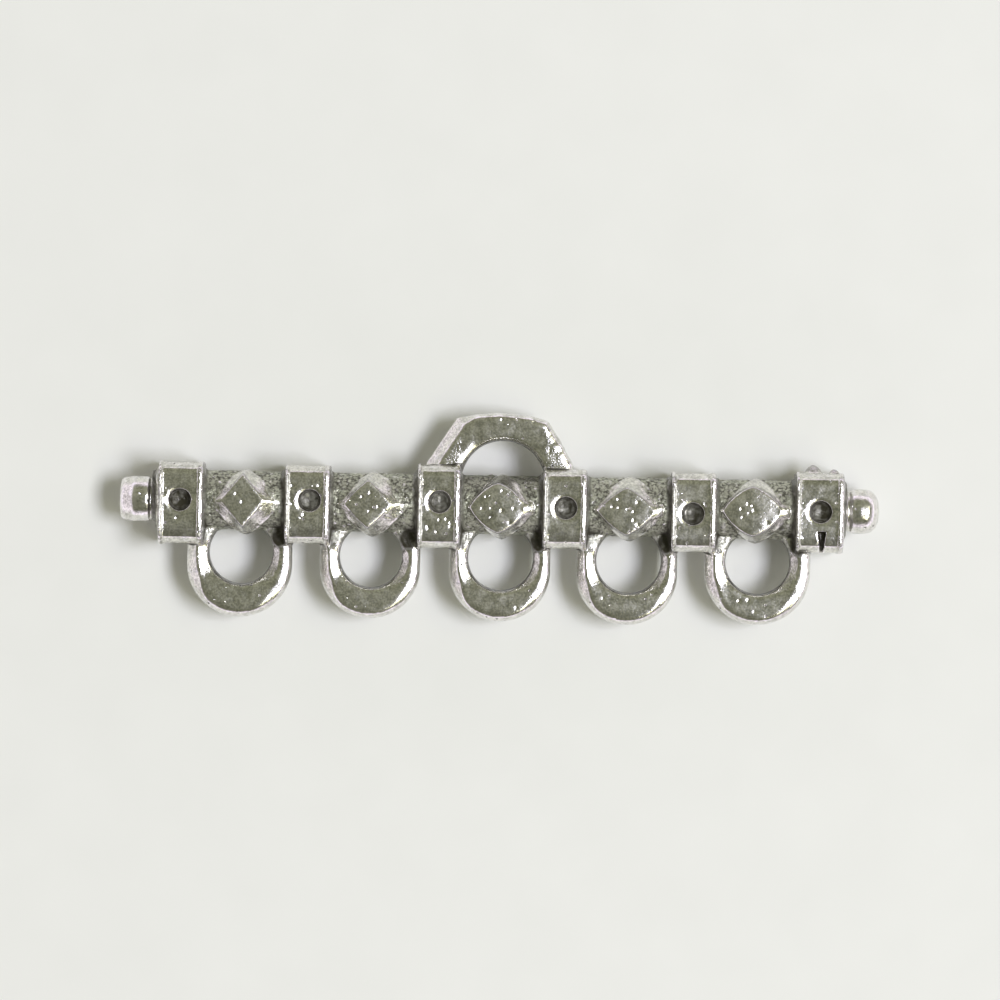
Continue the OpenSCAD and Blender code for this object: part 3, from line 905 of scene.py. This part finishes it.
def in_loop(points, k):
    """Painted shade on the unlit wall of a strand loop's eye, and a painted shadow, cast by the
    next cuff, in the corner above its right leg.
    """
    x, y, z = points.T
    loop = LOOPS[k]
    wall = np.hypot(x - PITCH * loop.pitches - loop.eye_shift, y - loop.eye_y) - loop.eye_r
    # painted shade on the unlit inner wall of the eye
    eye = 0.8 * ease((0.085 - wall) / 0.05) * (y < -1.5) * (wall > -0.2)
    # painted shadow that the next cuff casts in the corner above the right leg
    corner = PITCH * loop.pitches + loop.out_shift + loop.out_r - 0.62
    d = np.hypot((x - corner) / 0.46, (y + 1.78) / 0.60)
    return np.maximum(eye * ease((0.60 - np.abs(z)) / 0.08),
                      1.1 * ease((1.15 - d) / 0.5) * ease((1.45 - np.abs(z)) / 0.2))


def in_gouge(points):
    """1 in the gouge of the last cuff."""
    x, y, z = points.T
    along = GOUGE_TOP - y
    half = GOUGE_HALF - GOUGE_TAPER * np.clip(along, 0, 1)
    inside = (np.abs(x - GOUGE_X) < half) & (along > -0.02) & (along < GOUGE_LONG + 0.02)
    return (inside & (z > 0.9) & (z < 1.66)).astype(float)


def stains_and_shade(points):
    """Dark places that the photo shows, 0.3 to 1.1 in their middle and 0 outside: the parting
    line, painted shade on the hanging eye's wall, the nubs, the gouge, and those of the cuffs,
    studs and loops, among them painted shadows and painted shade."""
    x, y, z = points.T
    hanging = np.hypot(x - ARCH[0], y - ARCH[1]) - ARCH_R
    nubs = ease((y - 1.90) / 0.1) * ease((x - cuff_x[5] + 1) / 0.1) * (x > 14)
    parts = [
        0.55 * ease((0.15 - np.abs(z)) / 0.11),
        # painted shade on the unlit inner wall of the hanging eye
        0.9 * ease((0.07 - hanging) / 0.05) * (y > 1.75) * (np.abs(x) < 2.6)
        * ease((0.66 - np.abs(z)) / 0.06),
        0.50 * nubs * ease((1.2 - np.abs(z)) / 0.1),
        in_gouge(points),
    ]
    for k in range(len(CUFFS)):
        parts += [beside_cuff(points, k), on_cuff(points, k)]
    for k in range(len(STUDS)):
        # one strand loop hangs under each stud
        parts += [round_crown(points, k), in_loop(points, k)]
    return np.maximum.reduce(parts)


# how raw each place was left: rubbed faces, bevels, left and right rims and what the right
# rims' ends gain, studs' facets, loops' sides, nubs, dimples' floors, tops of the loops' legs
RAW = dict(faces=0.04, bevels=0.30, left_rim=0.80, right_rim=0.28, rim_ends=0.50, facets=0.42,
           loop_sides=0.22, nubs=0.40, floors=0.55, leg_tops=0.8)


def raw_skin(points):
    """How rough the cast skin was left: 1 on the bare bar, less on the studs' facets, on the
    cuffs' bevels and on the sides of the strand loops, least on the rubbed faces."""
    x, y, z = points.T
    z = np.abs(z)
    parts = [
        np.full(len(points), RAW["faces"]),
        RAW["loop_sides"] * ease((-y - 1.6) / 0.2) * ease((0.655 - z) / 0.05),
        RAW["nubs"] * (y > 1.9) * (x > 14),
        RAW["floors"] * bowls(points),
        RAW["leg_tops"] * ease((y + 2.2) / 0.3) * ease((-1.40 - y) / 0.1)
        * ease((0.74 - z) / 0.04),
        bare_bar(points),
    ]
    rim_end = np.maximum(ease((y - 0.9) / 0.3), ease((-1.2 - y) / 0.3))
    for cuff, middle, half in zip(CUFFS, cuff_x, cuff_half):
        within = ease((half - np.abs(x - middle)) / 0.08)
        bevel = np.maximum(ease((y - cuff.top + 0.42) / 0.12), ease((cuff.low + 0.42 - y) / 0.12))
        parts.append(RAW["bevels"] * within * bevel)
        left = RAW["left_rim"] * ease((0.16 - np.abs(middle - half + 0.09 - x)) / 0.05)
        right = RAW["right_rim"] + RAW["rim_ends"] * rim_end
        right *= ease((0.16 - np.abs(middle + half - 0.14 - x)) / 0.05)
        parts.append(np.maximum(left, right) * (z > 1.5))
    for stud, middle in zip(STUDS, stud_x):
        reach = np.abs(x - middle) / stud.base_x + np.abs(y) / 1.75
        parts.append(RAW["facets"] * ease((1.12 - reach) / 0.10) * ease((1.70 - z) / 0.05))
    return np.maximum.reduce(parts)


ends, count = edges_of(casting)
normals = normals_of(casting)
broad = hollow(points, normals, ends, count, BROAD_PASSES)
keep_attribute("fine_hollow", hollow(points, normals, ends, count, FINE_PASSES))
keep_attribute("broad_hollow", broad * (1 - BOWL_RUBBED * bowls(points)))
# real dark marks together with painted shadows and painted shade
keep_attribute("stain_and_shade", stains_and_shade(points))
keep_attribute("raw", raw_skin(points))

# %% [markdown]
# ## Grain and cast skin as groups
# Metal and paper both have a fine grain, and the cast metal has pebbles and dents too small for
# the mesh. Each is a shader group that puts out a mask or a height, so a material only says how
# large it is and what it changes. A picture of noise would stretch and repeat, and this doesn't.

# %% Node helpers and the grain group
def group_of(name, inputs, outputs):
    """Empty shader group with named sockets; returns it with its two end nodes."""
    tree = bpy.data.node_groups.new(name, "ShaderNodeTree")
    for label, kind, value in inputs:
        socket = tree.interface.new_socket(label, in_out="INPUT", socket_type=kind)
        socket.default_value = value
    for label, kind in outputs:
        tree.interface.new_socket(label, in_out="OUTPUT", socket_type=kind)
    return tree, tree.nodes.new("NodeGroupInput"), tree.nodes.new("NodeGroupOutput")


def maths(tree, operation, a, b=None, c=None, clamp=False):
    """Math node whose inputs are links or numbers, the sum a * b + c for MULTIPLY_ADD; returns
    its output."""
    node = tree.nodes.new("ShaderNodeMath")
    node.operation, node.use_clamp = operation, clamp
    for socket, value in zip(node.inputs, (a, b, c)):
        if value is None:
            continue
        if isinstance(value, (int, float)):
            socket.default_value = value
        else:
            tree.links.new(value, socket)
    return node.outputs[0]


def spread(tree, value, low, high, to_low=0.0, to_high=1.0):
    """Map Range, held at both ends and smooth, from low and high to to_low and to_high."""
    node = tree.nodes.new("ShaderNodeMapRange")
    node.interpolation_type = "SMOOTHSTEP"
    ranges = {"From Min": low, "From Max": high, "To Min": to_low, "To Max": to_high}
    for label, number in ranges.items():
        node.inputs[label].default_value = number
    tree.links.new(value, node.inputs["Value"])
    return node.outputs["Result"]


def blended(tree, share, first, second):
    """First colour where the share is 0, second where it is 1; a colour is a link or three
    numbers."""
    node = tree.nodes.new("ShaderNodeMix")
    node.data_type = "RGBA"
    tree.links.new(share, node.inputs["Factor"])
    for socket, colour in ((node.inputs[6], first), (node.inputs[7], second)):
        if isinstance(colour, tuple):
            socket.default_value = (*colour, 1)
        else:
            tree.links.new(colour, socket)
    return node.outputs[2]


def scaled(tree, colour, factor):
    """A colour times a number."""
    node = tree.nodes.new("ShaderNodeVectorMath")
    node.operation = "SCALE"
    tree.links.new(colour, node.inputs[0])
    tree.links.new(factor, node.inputs["Scale"])
    return node.outputs[0]


def noise(tree, vector, scale, detail, roughness=0.5):
    """Noise texture on the given coordinates; returns its value."""
    node = tree.nodes.new("ShaderNodeTexNoise")
    node.inputs["Scale"].default_value = scale
    node.inputs["Detail"].default_value = detail
    node.inputs["Roughness"].default_value = roughness
    tree.links.new(vector, node.inputs["Vector"])
    return node.outputs["Fac"]


def attribute_of(tree, name):
    """A mesh attribute's value."""
    node = tree.nodes.new("ShaderNodeAttribute")
    node.attribute_name = name
    return node.outputs["Fac"]


def grain_group():
    """Fine grain for metal and paper: two noises added, as a height and as a tint mask."""
    tree, start, end = group_of(
        "fine grain",
        [("Coordinates", "NodeSocketVector", (0, 0, 0)), ("Per Metre", "NodeSocketFloat", 5000.0)],
        [("Height", "NodeSocketFloat"), ("Tint", "NodeSocketFloat")],
    )
    place = scaled(tree, start.outputs["Coordinates"], start.outputs["Per Metre"])
    fine = noise(tree, place, 1.0, 3.0, 0.6)
    coarse = noise(tree, place, 0.27, 2.0)
    tree.links.new(maths(tree, "MULTIPLY_ADD", coarse, 0.35, maths(tree, "MULTIPLY", fine, 0.65)),
                   end.inputs["Height"])
    tree.links.new(coarse, end.inputs["Tint"])
    return tree


def skin_group():
    """Cast skin: pebbles are 0.35 (1 - distance to the nearest cell's middle) + 0.65 noise, and
    pits are small round dents round the middles of half of the larger cells."""
    tree, start, end = group_of(
        "cast skin",
        [("Coordinates", "NodeSocketVector", (0, 0, 0)),
         ("Pebbles Per Metre", "NodeSocketFloat", 5800.0),
         ("Pits Per Metre", "NodeSocketFloat", 2300.0)],
        [("Pebbles", "NodeSocketFloat"), ("Pits", "NodeSocketFloat")],
    )
    place = start.outputs["Coordinates"]
    cells = []
    for label in ("Pebbles Per Metre", "Pits Per Metre"):
        node = tree.nodes.new("ShaderNodeTexVoronoi")
        tree.links.new(place, node.inputs["Vector"])
        tree.links.new(start.outputs[label], node.inputs["Scale"])
        cells.append(node)
    rough = noise(tree, place, 9000.0, 4.0, 0.65)
    round_top = maths(tree, "SUBTRACT", 1.0, cells[0].outputs["Distance"])
    pebbles = maths(tree, "MULTIPLY_ADD", round_top, 0.35, maths(tree, "MULTIPLY", rough, 0.65))
    tree.links.new(pebbles, end.inputs["Pebbles"])
    chosen = tree.nodes.new("ShaderNodeSeparateColor")
    tree.links.new(cells[1].outputs["Color"], chosen.inputs[0])
    few = maths(tree, "GREATER_THAN", chosen.outputs[0], 0.50)
    dent = spread(tree, cells[1].outputs["Distance"], 0.17, 0.05)
    tree.links.new(maths(tree, "MULTIPLY", few, dent), end.inputs["Pits"])
    return tree


grain = grain_group()
skin = skin_group()
for group in (grain, skin):
    print("Group:", group.name, [s.name for s in group.interface.items_tree])

# %% [markdown]
# ## Antique silver
# The metal is silver over a grey alloy. Rubbed faces are a slightly warm mid grey, edges are
# polished, and the hollows hold a rough brown-black patina that hardly reflects. One metal
# colour would look like chrome, so the mask for patina and painted shade takes the largest of
# the corners, the fine hollows, the grooves between pebbles, the dents and the stains, which
# hold painted shadows and shade, and everything else follows it.

# %% Antique silver material
COOL_SILVER = (0.81, 0.80, 0.785)
WARM_SILVER = (0.85, 0.835, 0.83)
MOTTLED = (0.75, 0.735, 0.69)
BARE_METAL = (0.47, 0.48, 0.39)
POLISHED = (0.95, 0.92, 0.94)
# brown-black of the patina, also given to the painted shadows and painted shade
PATINA_AND_SHADE = (0.042, 0.038, 0.024)
# sizes of noise per metre: fine grain, mottling within a face, and clouds from face to face
METAL_GRAIN = 9000.0
MOTTLE = 2600.0
CLOUDS = 700.0
# height in metres that a bump of 1 stands for
BUMP_HEIGHT = 0.00005


def antique_silver():
    """Metal with patina by the hollow attributes and noise, painted shadows and shade by the
    stain attribute, and polished edges.
    """
    material = bpy.data.materials.new("antique silver")
    material.use_nodes = True
    tree = material.node_tree
    shader = tree.nodes["Principled BSDF"]
    where = tree.nodes.new("ShaderNodeTexCoord").outputs["Object"]
    texture = tree.nodes.new("ShaderNodeGroup")
    texture.node_tree = grain
    texture.inputs["Per Metre"].default_value = METAL_GRAIN
    tree.links.new(where, texture.inputs["Coordinates"])

    cast = tree.nodes.new("ShaderNodeGroup")
    cast.node_tree = skin
    tree.links.new(where, cast.inputs["Coordinates"])
    pebbles, pits = cast.outputs["Pebbles"], cast.outputs["Pits"]

    fine = attribute_of(tree, "fine_hollow")
    broad = attribute_of(tree, "broad_hollow")
    raw = attribute_of(tree, "raw")
    bare = maths(tree, "MULTIPLY", raw, raw)
    mottle = noise(tree, where, MOTTLE, 4.0, 0.6)
    cloud = noise(tree, where, CLOUDS, 3.0)

    # patina and painted shade: patina in corners, in fine hollows, between pebbles where the skin
    # is raw and in the dents, and the stains with their painted shadows and shade, broken up by
    # the mottling
    uneven = maths(tree, "MULTIPLY_ADD", mottle, 0.05, -0.025)
    deep = spread(tree, maths(tree, "ADD", broad, uneven), 0.022, 0.115)
    pit = spread(tree, maths(tree, "MULTIPLY_ADD", uneven, 0.10, fine), 0.003, 0.016)
    groove = spread(tree, maths(tree, "MULTIPLY_ADD", mottle, -0.40, pebbles), 0.37, 0.13)
    groove = maths(tree, "MULTIPLY", groove, maths(tree, "POWER", raw, 2.5))
    patina_and_shade = maths(tree, "MAXIMUM", deep, maths(tree, "MULTIPLY", pit, 0.85))
    patina_and_shade = maths(tree, "MAXIMUM", patina_and_shade, maths(tree, "MULTIPLY", groove, 0.90))
    patina_and_shade = maths(tree, "MAXIMUM", patina_and_shade,
                   maths(tree, "MULTIPLY", pits, maths(tree, "MULTIPLY_ADD", raw, 0.35, 0.6)))
    # the stain attribute: real dark marks together with painted shadows and painted shade
    stain_and_shade = maths(tree, "MULTIPLY_ADD", mottle, 1.1, 0.40)
    stain_and_shade = maths(tree, "MULTIPLY", stain_and_shade, attribute_of(tree, "stain_and_shade"), clamp=True)
    patina_and_shade = maths(tree, "MAXIMUM", patina_and_shade, stain_and_shade)
    edge = maths(tree, "SUBTRACT", 1.0, spread(tree, fine, -0.014, -0.003))

    # colour: two silvers in clouds, mottled, duller where bare, bright on edges, dark patina and
    # painted shade
    face = blended(tree, spread(tree, cloud, 0.35, 0.65), COOL_SILVER, WARM_SILVER)
    face = blended(tree, spread(tree, mottle, 0.68, 0.54), face, MOTTLED)
    face = blended(tree, bare, face, BARE_METAL)
    speck = spread(tree, texture.outputs["Height"], 0.34, 0.66, 0.68, 1.24)
    face = scaled(tree, face, speck)
    worn = blended(tree, edge, face, POLISHED)
    colour = blended(tree, patina_and_shade, worn, PATINA_AND_SHADE)
    tree.links.new(colour, shader.inputs["Base Color"])
    tree.links.new(spread(tree, patina_and_shade, 0.2, 0.9, 1.0, 0.25), shader.inputs["Metallic"])

    # roughness: the grain's tint, more in patina and painted shade and on bare skin, where edges
    # are polished
    rough = maths(tree, "MULTIPLY_ADD", texture.outputs["Tint"], 0.14, 0.12)
    rough = maths(tree, "MULTIPLY_ADD", patina_and_shade, 0.12, rough)
    rubbed = maths(tree, "MULTIPLY_ADD", edge, -0.28, 0.26)
    rough = maths(tree, "MULTIPLY_ADD", bare, rubbed, rough)
    tree.links.new(rough, shader.inputs["Roughness"])

    # bump: pebbles where the skin is raw and no edge is worn, fine grain, and dents
    calm = maths(tree, "MULTIPLY_ADD", edge, -0.9, 1.0)
    height = maths(tree, "MULTIPLY", pebbles, maths(tree, "MULTIPLY", raw, calm))
    height = maths(tree, "MULTIPLY_ADD", texture.outputs["Height"], 0.20, height)
    height = maths(tree, "MULTIPLY_ADD", pits, -0.9, height)
    bump = tree.nodes.new("ShaderNodeBump")
    bump.inputs["Strength"].default_value = 1.0
    bump.inputs["Distance"].default_value = BUMP_HEIGHT
    tree.links.new(height, bump.inputs["Height"])
    tree.links.new(bump.outputs["Normal"], shader.inputs["Normal"])
    return material


silver = antique_silver()
casting.materials.clear()
casting.materials.append(silver)
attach(piece, "root")
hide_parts("connector")
print("Material:", silver.name, len(silver.node_tree.nodes), "nodes")

# %% [markdown]
# ## Paper
# The connector lies on plain pale paper with a very fine grain. A sheet a little larger than
# the picture would show its edge in the metal's reflections, so it is 3 m wide.

# %% Floor
PAPER_DARK = (0.80, 0.81, 0.76)
PAPER_LIGHT = (0.84, 0.85, 0.80)
PAPER_GRAIN = 900.0
FLOOR_HALF = 1.5


def paper():
    """Pale paper: a very fine grain in its colour and roughness."""
    material = bpy.data.materials.new("pale paper")
    material.use_nodes = True
    tree = material.node_tree
    shader = tree.nodes["Principled BSDF"]
    texture = tree.nodes.new("ShaderNodeGroup")
    texture.node_tree = grain
    texture.inputs["Per Metre"].default_value = PAPER_GRAIN
    tree.links.new(tree.nodes.new("ShaderNodeTexCoord").outputs["Object"],
                   texture.inputs["Coordinates"])
    shade = blended(tree, texture.outputs["Tint"], PAPER_DARK, PAPER_LIGHT)
    tree.links.new(shade, shader.inputs["Base Color"])
    tree.links.new(spread(tree, texture.outputs["Tint"], 0.2, 0.8, 0.85, 0.95),
                   shader.inputs["Roughness"])
    shader.inputs["Specular IOR Level"].default_value = 0.2
    return material


corners = [(a * FLOOR_HALF, b * FLOOR_HALF, 0) for a, b in ((-1, -1), (1, -1), (1, 1), (-1, 1))]
floor_mesh = bpy.data.meshes.new("floor")
floor_mesh.from_pydata(corners, [], [(0, 1, 2, 3)])
floor_mesh.materials.append(paper())
floor = bpy.data.objects.new("paper_floor", floor_mesh)
bpy.context.scene.collection.objects.link(floor)
print("Floor:", 2 * FLOOR_HALF, "m wide")

# %% [markdown]
# ## Lamps and room
# Seen from straight above, a lamp at height e is mirrored only by slopes that lean (90 - e) / 2
# degrees towards it: 14.5 degrees for the main lamp, as the loops' inner left slopes do. So the
# bright streaks give the lamp's height and turn, and the shadows, sharp inside and fading
# slowly, its size. A second lamp, weaker, warmer, lower and longer, softens them. The room is
# dark overhead, which is why flat faces look olive grey, and pale near the horizon, which
# lights every slope steeper than about 38 degrees. A sky of one grey would lose both.

# %% Lamps and room
LAMP_AWAY = 1.00
HORIZON = (1.20, 1.11, 1.24)
OVERHEAD_LOW_Y = (0.168, 0.171, 0.121)
OVERHEAD_HIGH_Y = (0.256, 0.261, 0.184)
# name, height and turn from +X in degrees, length and width in metres, watts, tint
LAMPS = [
    ("main_softbox", 61, -5, 0.42, 0.27, 6.6, (0.943, 0.943, 1.125)),
    ("long_softbox", 56, -12, 1.10, 0.22, 2.3, (1.04, 1.02, 0.72)),
]


def softbox(name, height, turn, long, wide, watts, tint):
    """Area lamp at an angle of height and turn, long side level, facing the origin."""
    data = bpy.data.lights.new(name, "AREA")
    data.shape = "RECTANGLE"
    data.size, data.size_y = long, wide
    data.energy = watts
    data.color = tint
    lamp = bpy.data.objects.new(name, data)
    height, turn = np.radians(height), np.radians(turn)
    lamp.location = (LAMP_AWAY * np.cos(height) * np.cos(turn),
                     LAMP_AWAY * np.cos(height) * np.sin(turn), LAMP_AWAY * np.sin(height))
    lamp.rotation_mode = "QUATERNION"
    lamp.rotation_quaternion = (-Vector(lamp.location)).to_track_quat("-Z", "Y")
    lamp.visible_camera = False
    bpy.context.scene.collection.objects.link(lamp)


def room():
    """Sky: pale at the horizon, dark above 29 degrees, and darkest towards -Y."""
    world = bpy.data.worlds.new("room")
    world.use_nodes = True
    tree = world.node_tree
    back = tree.nodes["Background"]
    parts = tree.nodes.new("ShaderNodeSeparateXYZ")
    tree.links.new(tree.nodes.new("ShaderNodeTexCoord").outputs["Generated"], parts.inputs[0])
    above = blended(tree, spread(tree, parts.outputs["Y"], -0.5, 0.5),
                    OVERHEAD_LOW_Y, OVERHEAD_HIGH_Y)
    overhead = spread(tree, parts.outputs["Z"], 0.16, 0.48)
    tree.links.new(blended(tree, overhead, HORIZON, above), back.inputs["Color"])
    return world


for lamp in LAMPS:
    softbox(*lamp)
bpy.context.scene.world = room()
print("Lamps:", [lamp[0] for lamp in LAMPS])

# %% [markdown]
# ## Camera
# The photo was taken from straight above, with the object turned by about a degree. Turning the
# camera instead leaves the object straight in the frame. A long lens, far away, all but hides
# the walls of the eyes at both ends, as in the photo. The picture is 50 mm wide at the height
# of the bar's axis, and its middle lies a quarter of a millimetre above that axis in the plan.

# %% Camera
# turn of the picture, lens and sensor in mm, width of the picture in metres, and the place in
# mm, from the middle of the bar's axis, that the picture is centred on
TILT = np.radians(1.05)
LENS = 200
SENSOR = 36
FRAME_WIDTH = 0.050
AIM = np.array([0.0175, 0.248])
camera_data = bpy.data.cameras.new("camera")
camera_data.sensor_width = SENSOR
camera_data.lens = LENS
camera_data.clip_start, camera_data.clip_end = 0.01, 10
camera = bpy.data.objects.new("camera", camera_data)
away = FRAME_WIDTH * LENS / SENSOR
camera.location = (*(AIM - ORIGIN[:2]) / 1000, away - ORIGIN[2] / 1000)
camera.rotation_euler = (0, 0, TILT)
bpy.context.scene.collection.objects.link(camera)
bpy.context.scene.camera = camera
bpy.context.scene.view_settings.view_transform = "Standard"
print("Camera", round(away * 1000), "mm above the bar's axis")
